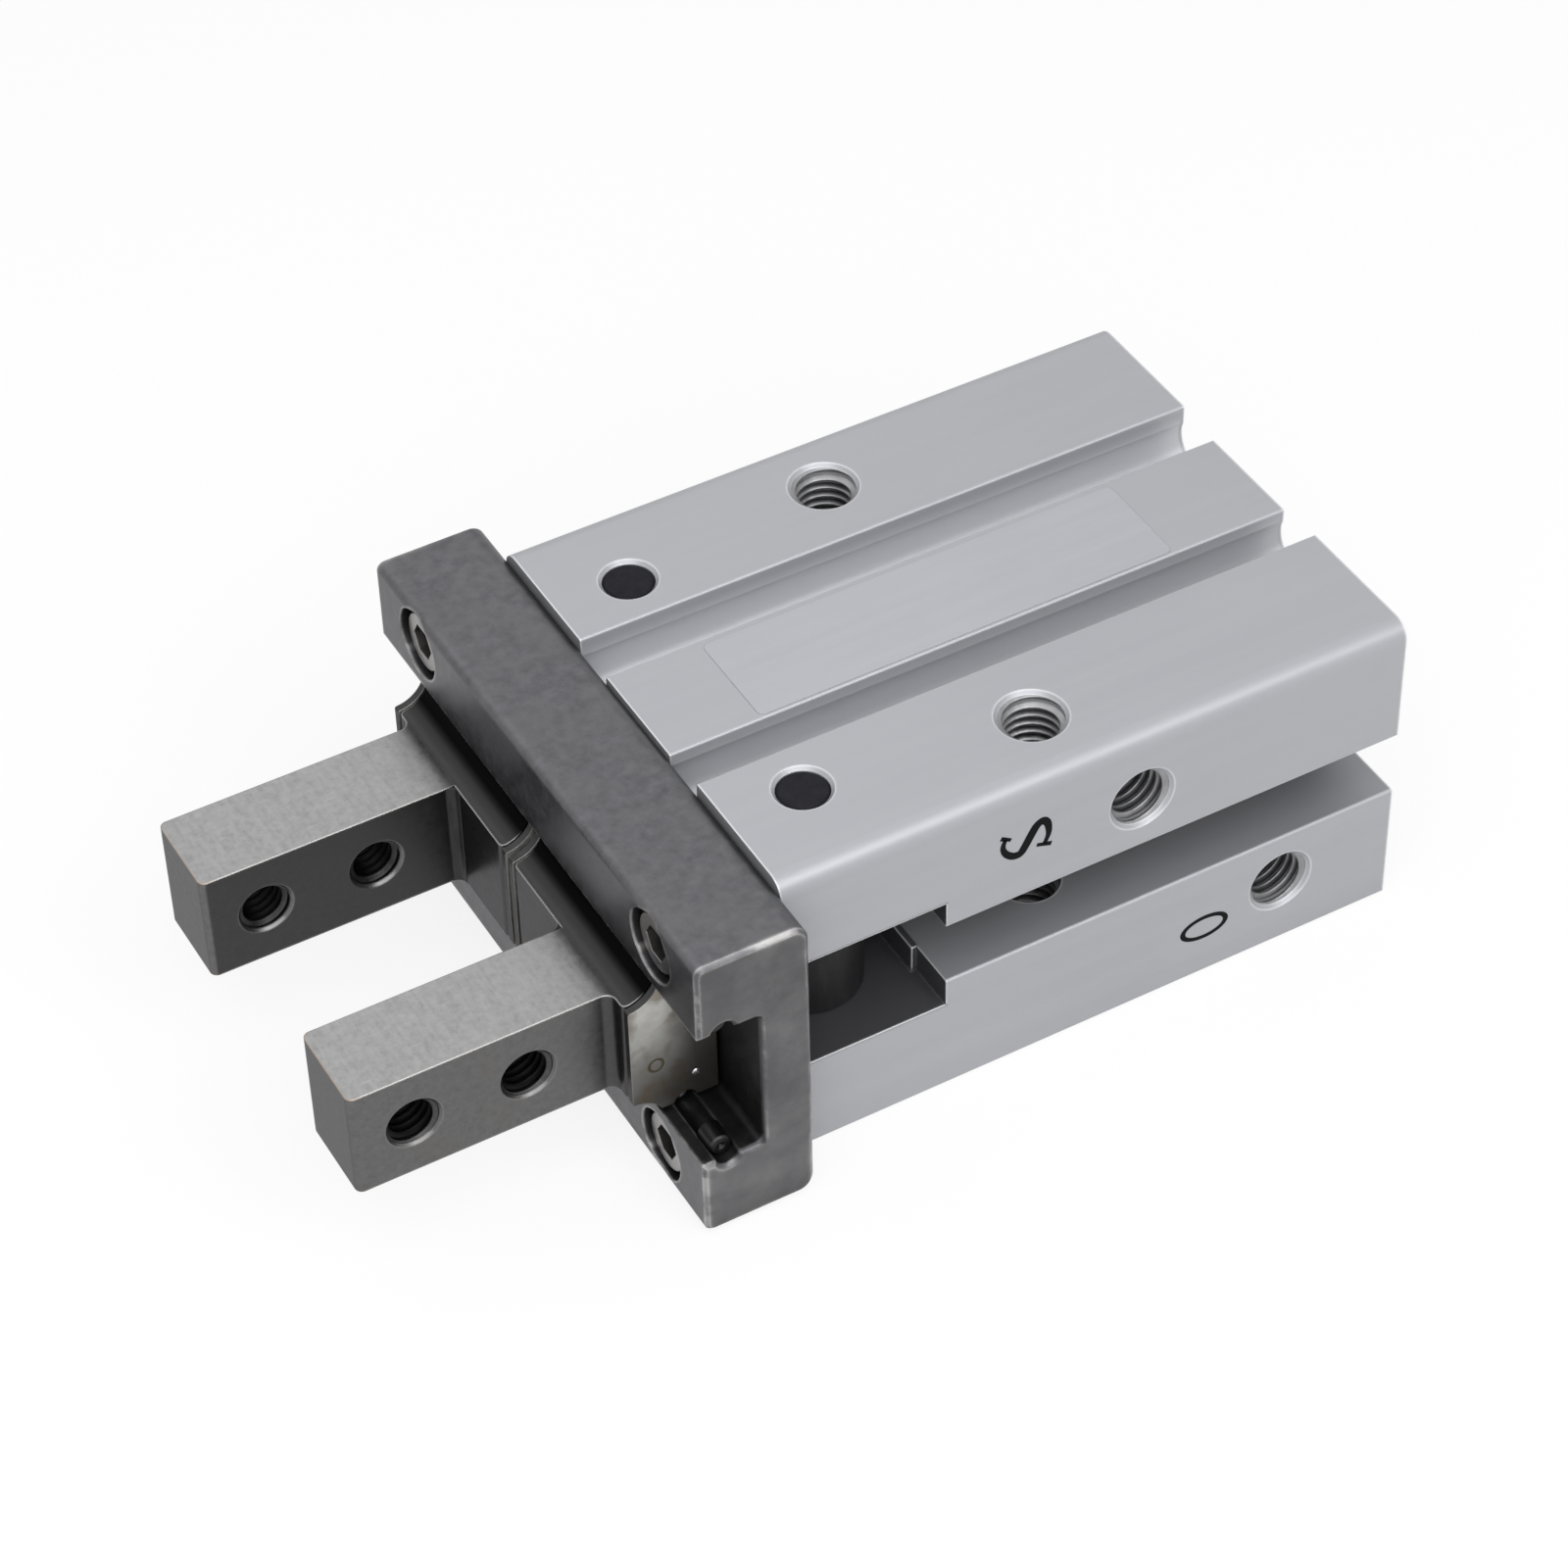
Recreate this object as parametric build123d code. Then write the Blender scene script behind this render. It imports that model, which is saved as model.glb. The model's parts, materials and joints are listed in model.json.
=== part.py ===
from build123d import *
import math
import os

# Two-finger pneumatic parallel gripper, 20 mm bore, lying on its wide face.
# Millimetres. Origin: centre of the rear mounting face. +X runs to the fingertips,
# +Y to the side with the two air ports (the near side), +Z up through the thickness.

# Body extrusion
body_length = 53.0
body_width = 42.0
body_height = 27.6
body_top_fillet = 1.5
body_bottom_fillet = 0.4
label_strip_recess = 0.5
sensor_groove_spacing = 13.75
sensor_groove_opening = 4.0
sensor_groove_radius = 2.2
sensor_groove_depth = 2.0
side_slot_height = 5.6
side_slot_floor = 12.0
lip_fillet = 0.2

# Cylinder inside the body
bore_radius = 10.0
bore_end = 24.5
rod_radius = 5.0
rod_seal_radius = 7.2
rod_seal_length = 3.4
rod_damper_thickness = 1.2
rod_damper_radius = 8.5
pilot_radius = 10.5
pilot_depth = 1.5
clip_thickness = 1.0
clip_radial_width = 1.7
clip_groove_depth = 0.45
clip_wall = 0.6
cap_length = 4.15
gasket_section = 1.4
head_damper_thickness = 0.8
head_damper_radius = 7.0

# Lever pocket at the front of the body
pocket_depth = 13.05
pocket_height = 10.4
pocket_mouth_step = 0.45
pocket_mouth_depth = 4.2

# Threaded holes, at the threads' outer diameters
mount_thread_radius = 2.5
mount_countersink = 0.3
flange_hole_x = 28.8
flange_hole_spacing = 30.0
rear_hole_spacing_y = 30.0
rear_hole_spacing_z = 16.0
rear_hole_depth = 6.0
port_depth = 5.0
port_z = 7.5
port_open_x = 9.9
port_close_x = 22.9
port_passage_radius = 1.0

# Guide rail, screwed across the front of the body
guide_overhang = 4.0
guide_length = 9.0
guide_setback = 0.3
guide_web = 4.0
guide_front_fillet = 0.7
guide_back_fillet = 1.3
guide_end_chamfer = 0.3
channel_height = 13.0
channel_corner_fillet = 0.6
raceway_from_front = 2.05
ball_radius = 0.9
balls_per_row = 8
raceway_clearance = 0.05
ball_gap = 0.04
stopper_length = 2.0
stopper_inset = 1.2
screw_inset = 2.7
screw_radius = 1.5
screw_length = 11.0
screw_hole_spare = 1.5
screw_head_radius = 2.6
screw_head_height = 3.0
screw_head_recess = 0.45
screw_socket_width = 2.5
screw_socket_depth = 1.6
counterbore_radius = 2.9
counterbore_wall = 0.1
pin_radius = 1.25
pin_length = 6.0
pin_z = 9.6

# Fingers
finger_stroke = 5.0
finger_gap = 0.5
block_width = 18.35
block_height = 12.4
block_front = 2.2
block_end_fillet = 0.5
end_plate_thickness = 0.6
end_plate_fillet = 0.2
end_plate_standoff = 0.15
end_plate_pad_inset = 0.5
jaw_length = 20.6
jaw_width = 7.5
jaw_height = 9.5
jaw_inset = 2.55
jaw_root_fillet = 0.8
jaw_tip_fillet = 0.6
finger_hole_radius = 2.0
finger_hole_countersink = 0.25
finger_hole_to_tip = 4.8
finger_hole_pitch = 9.0

# Levers
lever_shaft_radius = 2.0
lever_pivot_setback = 6.3
lever_pivot_inset = 7.9
lever_shaft_recess = 0.2
lever_shaft_countersink = 0.3
lever_outer_arm = 12.0
lever_bolt_clearance = 0.6
lever_lobe_radius = 2.0
lever_neck_half_width = 1.6
lever_root_half_width = 2.8
lever_hub_radius = 4.2
lever_arm_height = 8.8
needle_radius = 0.5
needle_count = 14
needle_sides = 8
ball_sides = 8

# Piston
piston_land_length = 6.3
piston_boss_radius = 8.4
piston_rear_boss = 3.0
piston_front_boss = 1.8
seal_groove_width = 1.8
seal_groove_depth = 2.1
magnet_groove_width = 2.0
magnet_groove_depth = 1.6
bolt_head_radius = 4.7
bolt_head_height = 2.0
bolt_shank_radius = 1.5
bolt_thread_length = 9.0
bolt_socket_width = 3.0
bolt_socket_depth = 1.3

# Clearances
seat = 0.02
running = 0.05
slot_play = 0.06
block_clearance = 0.25
hub_clearance = 0.15
end_play = 0.1

# Places that follow from the sizes above
side_y = body_width / 2
guide_width = body_width + 2 * guide_overhang
guide_height = body_height - 2 * guide_setback
screw_y = side_y - screw_inset
lever_pivot_y = side_y - lever_pivot_inset
lever_pivot_x = body_length - lever_pivot_setback
pocket_start = body_length - pocket_depth
lever_inner_arm = lever_pivot_y - lever_lobe_radius - bolt_shank_radius - lever_bolt_clearance
guide_back = body_length
guide_front = guide_back + guide_length
channel_back = guide_back + guide_web
raceway_x = guide_front - raceway_from_front
raceway_z = (channel_height + block_height) / 4
raceway_radius = ball_radius + raceway_clearance
screw_z = raceway_z + raceway_radius + counterbore_wall + counterbore_radius
screw_face = guide_front - screw_head_recess
screw_seat = screw_face - screw_head_height
screw_tip = screw_seat - screw_length
block_inner_y = finger_gap / 2
block_outer_y = block_inner_y + block_width
core_inner_y = block_inner_y + end_plate_thickness + end_plate_standoff
core_outer_y = block_outer_y - end_plate_thickness - end_plate_standoff
block_back = channel_back + block_clearance
block_face = guide_front + block_front
jaw_outer_y = block_outer_y - jaw_inset
jaw_inner_y = jaw_outer_y - jaw_width
jaw_mid_y = (jaw_outer_y + jaw_inner_y) / 2
tip_x = block_face + jaw_length
label_strip_z = body_height / 2 - label_strip_recess
sensor_groove_z = label_strip_z - sensor_groove_depth
lever_angle = math.asin(finger_stroke / 2 / lever_outer_arm)
drive_x = lever_pivot_x + lever_outer_arm * math.cos(lever_angle)
drive_y = lever_pivot_y - finger_stroke / 2
rod_drive_x = lever_pivot_x - lever_inner_arm * math.sin(lever_angle)
rod_drive_y = lever_pivot_y - lever_inner_arm * math.cos(lever_angle)
rod_shoulder = rod_drive_x - lever_lobe_radius - slot_play
bolt_head_back = rod_drive_x + lever_lobe_radius + slot_play
clip_start = pilot_depth + clip_wall
cap_start = clip_start + clip_thickness + end_play / 2
cap_end = cap_start + cap_length
piston_start = cap_end + head_damper_thickness + end_play
land_start = piston_start + piston_rear_boss
land_end = land_start + piston_land_length
needle_pitch_radius = lever_shaft_radius + seat + needle_radius
hub_bore_radius = needle_pitch_radius + needle_radius + seat
hub_height = pocket_height - 2 * hub_clearance
row_travel = finger_stroke / 2
row_mid_y = block_inner_y + block_width / 2 + row_travel / 2
FULL = 200.0


def x_cylinder(radius, x0, x1, y=0.0, z=0.0):
    return Pos((x0 + x1) / 2, y, z) * Rot(0, 90, 0) * Cylinder(radius, x1 - x0)


def y_cylinder(radius, y0, y1, x=0.0, z=0.0):
    return Pos(x, (y0 + y1) / 2, z) * Rot(90, 0, 0) * Cylinder(radius, y1 - y0)


def z_cylinder(radius, z0, z1, x=0.0, y=0.0):
    return Pos(x, y, (z0 + z1) / 2) * Cylinder(radius, z1 - z0)


def block(x0, x1, y0, y1, z0, z1):
    centre = Pos((x0 + x1) / 2, (y0 + y1) / 2, (z0 + z1) / 2)
    return centre * Box(x1 - x0, y1 - y0, z1 - z0)


def turned(points):
    """A solid of revolution about X from (x, radius) points."""
    outline = make_face(Polyline(*points, close=True))
    return revolve(outline, Axis.X)


def countersink_cone(radius, depth):
    """A cone that widens a hole's mouth by its depth, mouth at z = 0 facing +Z."""
    cone = Cone(radius, radius + 2 * depth, 2 * depth)
    return cone


def sunk_hole(radius, depth, sink):
    """A blind hole along -Z from z = 0 with a countersunk mouth."""
    hole = Pos(0, 0, -depth / 2) * Cylinder(radius, depth)
    return hole + countersink_cone(radius, sink)


def mirrored_pair(shape):
    return shape + mirror(shape, about=Plane.XZ)


def body_profile():
    """Cross-section of the extrusion in the YZ plane."""
    outline = Rectangle(body_width, body_height)
    top = outline.vertices().group_by(Axis.Y)[-1]
    outline = fillet(top, body_top_fillet)
    bottom = outline.vertices().group_by(Axis.Y)[0]
    outline = fillet(bottom, body_bottom_fillet)
    strip = Pos(0, label_strip_z + body_height / 2) * Rectangle(sensor_groove_spacing, body_height)
    outline -= strip
    for side in (1, -1):
        centre = Pos(side * sensor_groove_spacing / 2, sensor_groove_z)
        throat = Pos(0, body_height / 2) * Rectangle(sensor_groove_opening, body_height)
        outline -= centre * (Circle(sensor_groove_radius) + throat)
        floor = side * (side_slot_floor + side_y) / 2
        outline -= Pos(floor, 0) * Rectangle(side_y - side_slot_floor, side_slot_height)
    groove_lips = [corner for corner in outline.vertices()
                   if corner.Y > label_strip_z - lip_fillet
                   and abs(abs(corner.X) - sensor_groove_spacing / 2) < sensor_groove_opening]
    slot_lips = [corner for corner in outline.vertices()
                 if abs(corner.X) > side_y - lip_fillet and abs(corner.Y) < side_slot_height]
    outline = fillet(groove_lips + slot_lips, lip_fillet)
    return Plane.YZ * outline


def cylinder_cavity():
    """Everything bored along the axis: pilot, bore, clip groove, rod hole and seal seat."""
    clip_groove_radius = bore_radius + clip_groove_depth
    clip_end = clip_start + clip_thickness + end_play
    return turned([
        (-1, 0), (-1, pilot_radius), (pilot_depth, pilot_radius), (pilot_depth, bore_radius),
        (clip_start - end_play / 2, bore_radius), (clip_start - end_play / 2, clip_groove_radius),
        (clip_end - end_play / 2, clip_groove_radius), (clip_end - end_play / 2, bore_radius),
        (bore_end, bore_radius), (bore_end, rod_seal_radius),
        (bore_end + rod_seal_length, rod_seal_radius),
        (bore_end + rod_seal_length, rod_radius + running),
        (pocket_start + 1, rod_radius + running), (pocket_start + 1, 0),
    ])


def make_body():
    body = extrude(body_profile(), body_length)
    body -= cylinder_cavity()
    pocket = block(pocket_start, body_length + 1, -side_y - 1, side_y + 1,
                   -pocket_height / 2, pocket_height / 2)
    mouth = block(pocket_start - pocket_mouth_step, pocket_start + 1,
                  side_y - pocket_mouth_depth, side_y + 1, -pocket_height / 2, pocket_height / 2)
    body -= pocket + mirrored_pair(mouth)
    hole = sunk_hole(mount_thread_radius, body_height, mount_countersink)
    for side in (1, -1):
        y = side * flange_hole_spacing / 2
        body -= Pos(flange_hole_x, y, body_height / 2) * hole
        body -= Pos(flange_hole_x, y, -body_height / 2) * Rot(180, 0, 0) * hole
    rear_hole = Rot(0, -90, 0) * sunk_hole(mount_thread_radius, rear_hole_depth, mount_countersink)
    for y in (rear_hole_spacing_y / 2, -rear_hole_spacing_y / 2):
        for z in (rear_hole_spacing_z / 2, -rear_hole_spacing_z / 2):
            body -= Pos(0, y, z) * rear_hole
    port = Rot(-90, 0, 0) * sunk_hole(mount_thread_radius, port_depth, mount_countersink)
    for x, z in ((port_close_x, port_z), (port_open_x, -port_z)):
        body -= Pos(x, side_y, z) * port
        body -= y_cylinder(port_passage_radius, 0, side_y - port_depth, x, z)
    shaft_hole = lever_shaft_radius + seat
    sink = countersink_cone(shaft_hole, lever_shaft_countersink)
    for side in (1, -1):
        place = Pos(lever_pivot_x, side * lever_pivot_y, 0)
        body -= place * Cylinder(shaft_hole, FULL)
        body -= place * Pos(0, 0, body_height / 2) * sink
        body -= place * Pos(0, 0, -body_height / 2) * Rot(180, 0, 0) * sink
        pin_tip = body_length - pin_length / 2
        for level in (1, -1):
            body -= x_cylinder(screw_radius + seat, screw_tip - screw_hole_spare, body_length + 1,
                               side * screw_y, level * screw_z)
            body -= x_cylinder(pin_radius + seat, pin_tip - seat, body_length + 1,
                               0, level * pin_z)
    return body


def guide_profile():
    """C-shaped section of the rail in the XZ plane, open to the front."""
    middle = (guide_back + guide_front) / 2
    outline = Pos(middle, 0) * Rectangle(guide_length, guide_height)
    front = outline.vertices().group_by(Axis.X)[-1]
    outline = fillet(front, guide_front_fillet)
    back = outline.vertices().group_by(Axis.X)[0]
    outline = fillet(back, guide_back_fillet)
    depth = guide_front - channel_back
    channel = Pos(channel_back + depth, 0) * Rectangle(2 * depth, channel_height)
    outline -= fillet(channel.vertices(), channel_corner_fillet)
    for level in (1, -1):
        outline -= Pos(raceway_x, level * raceway_z) * Circle(raceway_radius)
    return Plane.XZ * outline


def lever_window():
    """Opening in the web of the rail that one lever arm swings in."""
    reach = channel_back - lever_pivot_x
    half = reach * math.tan(lever_angle) + lever_root_half_width
    height = lever_arm_height + 2 * hub_clearance
    return block(guide_back - 1, channel_back + 1, lever_pivot_y - half, lever_pivot_y + half,
                 -height / 2, height / 2)


def make_guide_rail():
    rail = extrude(guide_profile(), guide_width / 2, both=True)
    ends = rail.faces().filter_by(Axis.Y).group_by(Axis.Y)
    rail = chamfer(ends[0].edges() + ends[-1].edges(), guide_end_chamfer)
    rail -= mirrored_pair(lever_window())
    for side in (1, -1):
        for level in (1, -1):
            rail -= x_cylinder(counterbore_radius, screw_seat, guide_front + 1,
                               side * screw_y, level * screw_z)
            rail -= x_cylinder(screw_radius + running, guide_back - 1, screw_seat,
                               side * screw_y, level * screw_z)
    for level in (1, -1):
        rail -= x_cylinder(pin_radius + seat, guide_back - 1,
                           guide_back + pin_length / 2 + seat, 0, level * pin_z)
    return rail


def hex_socket(width, depth, x_face):
    """Hexagonal recess sunk from x_face towards -X."""
    hexagon = Plane.YZ * RegularPolygon(width / 2, 6, major_radius=False)
    return Pos(x_face - depth, 0, 0) * extrude(hexagon, depth + 1)


def make_guide_screw():
    """One socket-head cap screw along X, head at the front, on the axis."""
    edge = screw_head_height / 10
    screw = turned([
        (screw_tip, 0), (screw_tip, screw_radius), (screw_seat, screw_radius),
        (screw_seat, screw_head_radius),
        (screw_face - edge, screw_head_radius), (screw_face, screw_head_radius - edge),
        (screw_face, 0),
    ])
    return screw - hex_socket(screw_socket_width, screw_socket_depth, screw_face)


def make_guide_screws():
    screw = make_guide_screw()
    return [Pos(0, side * screw_y, level * screw_z) * screw
            for side in (1, -1) for level in (1, -1)]


def make_parallel_pins():
    half = pin_length / 2
    return [x_cylinder(pin_radius, guide_back - half, guide_back + half, 0, level * pin_z)
            for level in (1, -1)]


def make_roller_stoppers():
    outer = guide_width / 2 - stopper_inset
    near = [y_cylinder(ball_radius, outer - stopper_length, outer, raceway_x, level * raceway_z)
            for level in (1, -1)]
    return near + [mirror(stopper, about=Plane.XZ) for stopper in near]


def make_ball():
    """A ball with few faces: a polygonal belt between two tapered caps."""
    half_belt = ball_radius * math.sin(math.pi / 8)
    cap_height = ball_radius * math.cos(math.pi / 8) - half_belt
    section = RegularPolygon(ball_radius * math.cos(math.pi / 8), ball_sides)
    belt = extrude(section, half_belt, both=True)
    cap = extrude(Pos(0, 0, half_belt) * section, cap_height, taper=45)
    return belt + cap + mirror(cap, about=Plane.XY)


def make_steel_balls(side):
    pitch = 2 * ball_radius + ball_gap
    first = row_mid_y - pitch * (balls_per_row - 1) / 2
    ball = make_ball()
    return [Pos(raceway_x, side * (first + pitch * index), level * raceway_z) * ball
            for index in range(balls_per_row) for level in (1, -1)]


def block_profile():
    """Side view of the finger's sliding block in the XZ plane."""
    half = block_height / 2
    jaw = jaw_height / 2
    start = guide_front - block_clearance / 2
    upper = TangentArc((block_face, jaw), (start, half), tangent=(-1, 0))
    lower = TangentArc((block_face, -jaw), (start, -half), tangent=(-1, 0))
    face = Line((block_face, -jaw), (block_face, jaw))
    back = Polyline((start, half), (block_back, half), (block_back, -half), (start, -half))
    outline = make_face([upper, back, lower, face])
    for level in (1, -1):
        outline -= Pos(raceway_x, level * raceway_z) * Circle(raceway_radius)
    return Plane.XZ * outline


def make_finger():
    """Near finger: sliding block with its jaw, drive slot and two threaded holes."""
    slab = extrude(block_profile(), -(core_outer_y - core_inner_y))
    finger = Pos(0, core_inner_y, 0) * slab
    jaw = block(block_face - jaw_root_fillet, tip_x, jaw_inner_y, jaw_outer_y, -jaw_height / 2, jaw_height / 2)
    jaw = fillet(jaw.edges().filter_by(Axis.Z).group_by(Axis.X)[-1], jaw_tip_fillet)
    finger += jaw
    uprights = finger.edges().filter_by(Axis.Z)
    root = [edge for edge in uprights if abs(edge.center().X - block_face) < 0.01
            and abs(edge.center().Y - jaw_outer_y) < 0.01]
    finger = fillet(root, jaw_root_fillet)
    uprights = finger.edges().filter_by(Axis.Z)
    ends = [edge for edge in uprights if abs(edge.center().X - block_face) < 0.01
            and abs(edge.center().Y - jaw_outer_y) > jaw_root_fillet + 0.01
            and abs(edge.center().Y - jaw_inner_y) > 0.01]
    finger = fillet(ends, block_end_fillet)
    pad_half = jaw_height / 2 - end_plate_pad_inset
    finger += block(block_back + end_plate_pad_inset, block_face - end_plate_pad_inset,
                    core_inner_y - end_plate_standoff, core_outer_y + end_plate_standoff,
                    -pad_half, pad_half)
    slot_half = lever_lobe_radius + slot_play
    slot_end = lever_pivot_x + lever_outer_arm + lever_lobe_radius + block_clearance
    height = lever_arm_height + 2 * hub_clearance
    finger -= block(block_back - 1, slot_end, drive_y - slot_half, drive_y + slot_half,
                    -height / 2, height / 2)
    for step in (0, 1):
        x = tip_x - finger_hole_to_tip - step * finger_hole_pitch
        finger -= y_cylinder(finger_hole_radius, jaw_inner_y - 1, jaw_outer_y + 1, x, 0)
        sink = countersink_cone(finger_hole_radius, finger_hole_countersink)
        finger -= Pos(x, jaw_outer_y, 0) * Rot(-90, 0, 0) * sink
        finger -= Pos(x, jaw_inner_y, 0) * Rot(90, 0, 0) * sink
    return finger


def make_end_plates():
    """Two thin plates that close the ends of the near finger's block."""
    plate = extrude(block_profile(), -end_plate_thickness)
    uprights = plate.edges().filter_by(Axis.Y).group_by(Axis.X)[-1]
    plate = fillet(uprights, end_plate_fillet)
    return [Pos(0, block_inner_y, 0) * plate,
            Pos(0, block_outer_y - end_plate_thickness, 0) * plate]


def arm_outline(x, y):
    """A lever arm in plan: a neck tapering from the pivot to a round lobe at x, y."""
    lobe = Pos(x, y) * Circle(lever_neck_half_width)
    root = Pos(lever_pivot_x, lever_pivot_y) * Circle(lever_root_half_width)
    neck = make_hull((lobe + root).edges())
    return neck + Pos(x, y) * Circle(lever_lobe_radius)


def make_lever():
    """Near bell-crank: one arm in the finger's slot, the other in the rod's neck."""
    plan = arm_outline(drive_x, drive_y) + arm_outline(rod_drive_x, rod_drive_y)
    arms = extrude(plan, lever_arm_height / 2, both=True)
    pivot = Pos(lever_pivot_x, lever_pivot_y, 0)
    lever = arms + pivot * Cylinder(lever_hub_radius, hub_height)
    return lever - pivot * Cylinder(hub_bore_radius, FULL)


def make_needle_rollers(side):
    """Loose rollers packed round one lever shaft."""
    section = RegularPolygon(needle_radius, needle_sides)
    needle = extrude(section, hub_height / 2, both=True)
    rollers = []
    for index in range(needle_count):
        angle = 2 * math.pi * index / needle_count
        x = lever_pivot_x + needle_pitch_radius * math.cos(angle)
        y = side * lever_pivot_y + needle_pitch_radius * math.sin(angle)
        rollers.append(Pos(x, y, 0) * needle)
    return rollers


def make_lever_shaft(side):
    length = body_height - 2 * lever_shaft_recess
    shaft = Cylinder(lever_shaft_radius, length)
    shaft = chamfer(shaft.edges(), lever_shaft_recess)
    return Pos(lever_pivot_x, side * lever_pivot_y, 0) * shaft


def make_piston():
    """Piston turned in one piece with its rod, with seal and magnet grooves."""
    land = bore_radius - running
    spare = (piston_land_length - seal_groove_width - magnet_groove_width) / 3
    seal_start = land_start + spare
    seal_end = seal_start + seal_groove_width
    magnet_start = seal_end + spare
    magnet_end = magnet_start + magnet_groove_width
    boss_end = land_end + piston_front_boss
    edge = piston_front_boss / 6
    piston = turned([
        (piston_start, 0), (piston_start, piston_boss_radius), (land_start, piston_boss_radius),
        (land_start, land), (seal_start, land), (seal_start, land - seal_groove_depth),
        (seal_end, land - seal_groove_depth), (seal_end, land), (magnet_start, land),
        (magnet_start, land - magnet_groove_depth), (magnet_end, land - magnet_groove_depth),
        (magnet_end, land), (land_end, land), (land_end, piston_boss_radius),
        (boss_end, piston_boss_radius), (boss_end, rod_radius),
        (rod_shoulder - edge, rod_radius), (rod_shoulder, rod_radius - edge), (rod_shoulder, 0),
    ])
    hole_start = rod_shoulder - bolt_thread_length - end_play
    return piston - x_cylinder(bolt_shank_radius + seat, hole_start, rod_shoulder + 1)


def ring_in_groove(start, width, inner, outer):
    """A rubber or magnet ring that fills its groove but for the seat clearance."""
    edge = width / 6
    return turned([
        (start + seat, inner), (start + seat, outer - edge), (start + seat + edge, outer),
        (start + width - seat - edge, outer), (start + width - seat, outer - edge),
        (start + width - seat, inner),
    ])


def make_piston_seal():
    spare = (piston_land_length - seal_groove_width - magnet_groove_width) / 3
    inner = bore_radius - running - seal_groove_depth + seat
    return ring_in_groove(land_start + spare, seal_groove_width, inner, bore_radius - seat)


def make_magnet_ring():
    spare = (piston_land_length - seal_groove_width - magnet_groove_width) / 3
    start = land_start + 2 * spare + seal_groove_width
    inner = bore_radius - running - magnet_groove_depth + seat
    return ring_in_groove(start, magnet_groove_width, inner, bore_radius - 2 * running)


def make_piston_bolt():
    tip = rod_shoulder - bolt_thread_length
    head_end = bolt_head_back + bolt_head_height
    edge = bolt_head_height / 8
    bolt = turned([
        (tip, 0), (tip, bolt_shank_radius), (bolt_head_back, bolt_shank_radius),
        (bolt_head_back, bolt_head_radius), (head_end - edge, bolt_head_radius),
        (head_end, bolt_head_radius - edge), (head_end, 0),
    ])
    return bolt - hex_socket(bolt_socket_width, bolt_socket_depth, head_end)


def make_rod_seal():
    """Lip seal on the rod, in the seat behind the damper."""
    start = bore_end + rod_damper_thickness / 4
    end = bore_end + rod_seal_length - seat
    outer = rod_seal_radius - seat
    inner = rod_radius + seat
    middle = (inner + outer) / 2
    lip = (end - start) / 3
    return turned([
        (start, inner), (start, inner + seat + lip / 4), (start + lip, middle),
        (start, outer - lip / 4), (start, outer), (end, outer), (end, inner + lip / 4),
        (end - lip, inner),
    ])


def make_rod_damper():
    inner = rod_radius + 4 * running
    return x_cylinder(rod_damper_radius, bore_end - rod_damper_thickness, bore_end) \
        - x_cylinder(inner, bore_end - 2 * rod_damper_thickness, bore_end + 1)


def make_head_damper():
    disc = x_cylinder(head_damper_radius, cap_end, cap_end + head_damper_thickness)
    hole = x_cylinder(head_damper_radius / 3, cap_end - 1, cap_end + head_damper_thickness + 1)
    return disc - hole


def make_end_cap():
    """Plug that closes the bore, with a gasket groove and a shallow dished face."""
    outer = bore_radius - seat
    groove_floor = outer - gasket_section
    middle = (cap_start + cap_end) / 2
    half = gasket_section / 2 + running
    dish = cap_length / 6
    return turned([
        (cap_start + dish, 0), (cap_start + dish, outer / 2), (cap_start, outer / 2 + dish),
        (cap_start, outer), (middle - half, outer), (middle - half, groove_floor),
        (middle + half, groove_floor), (middle + half, outer), (cap_end, outer), (cap_end, 0),
    ])


def make_cap_gasket():
    middle = (cap_start + cap_end) / 2
    inner = bore_radius - seat - gasket_section + seat
    return ring_in_groove(middle - gasket_section / 2, gasket_section, inner, bore_radius - seat)


def make_retaining_clip():
    """Internal circlip: an open ring with two eyes that point inwards."""
    outer = bore_radius + clip_groove_depth - end_play / 2
    inner = bore_radius - clip_radial_width
    eye = clip_radial_width
    eye_angle = math.radians(20)
    eye_centre = inner + clip_radial_width / 2 - eye / 3
    ring = Circle(outer) - Circle(inner)
    reach = 2 * outer
    gap = Polyline((0, 0), (reach * math.sin(eye_angle), reach), (-reach * math.sin(eye_angle), reach),
                   close=True)
    ring -= make_face(gap)
    for side in (1, -1):
        spot = Pos(side * eye_centre * math.sin(eye_angle), eye_centre * math.cos(eye_angle))
        ring += spot * Circle(eye)
    for side in (1, -1):
        spot = Pos(side * eye_centre * math.sin(eye_angle), eye_centre * math.cos(eye_angle))
        ring -= spot * Circle(eye / 2.4)
    ring = ring & Circle(outer)
    return extrude(Plane.YZ.offset(clip_start) * ring, clip_thickness)


def mirrored(shape):
    return mirror(shape, about=Plane.XZ)


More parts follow.
